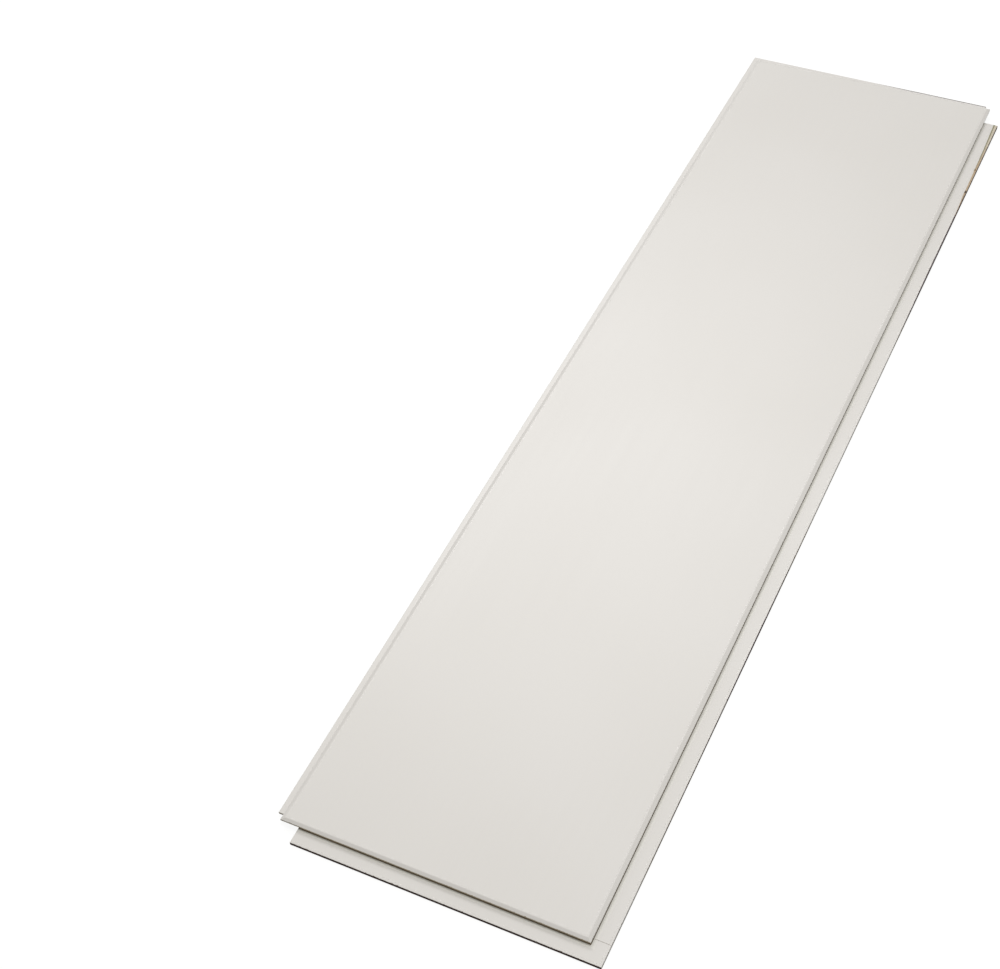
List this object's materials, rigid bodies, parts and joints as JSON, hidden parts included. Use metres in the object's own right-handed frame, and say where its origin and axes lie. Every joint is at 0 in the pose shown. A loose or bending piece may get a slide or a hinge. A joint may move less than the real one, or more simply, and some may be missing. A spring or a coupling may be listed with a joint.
{
  "type": "tongue-and-groove ceiling panel",
  "caption": "Coated MDF ceiling panel with bevelled face edges, a groove with a long fixing lip on two edges and a matching tongue on the other two.",
  "frame": {"origin": "centre of the covered rectangle, on the plane of the back", "axes": "+X across the width towards the groove side, +Y along the length towards the tongue end, +Z out of the decorative face"},
  "size_m": [0.322, 1.221, 0.01],
  "materials": {
    "coated_mdf": "satin off-white coat on the face and the worked edges, raw fibreboard on the cut edges and the back"
  },
  "bodies": {
    "root": {"ceiling_panel": "coated_mdf"}
  },
  "joints": []
}
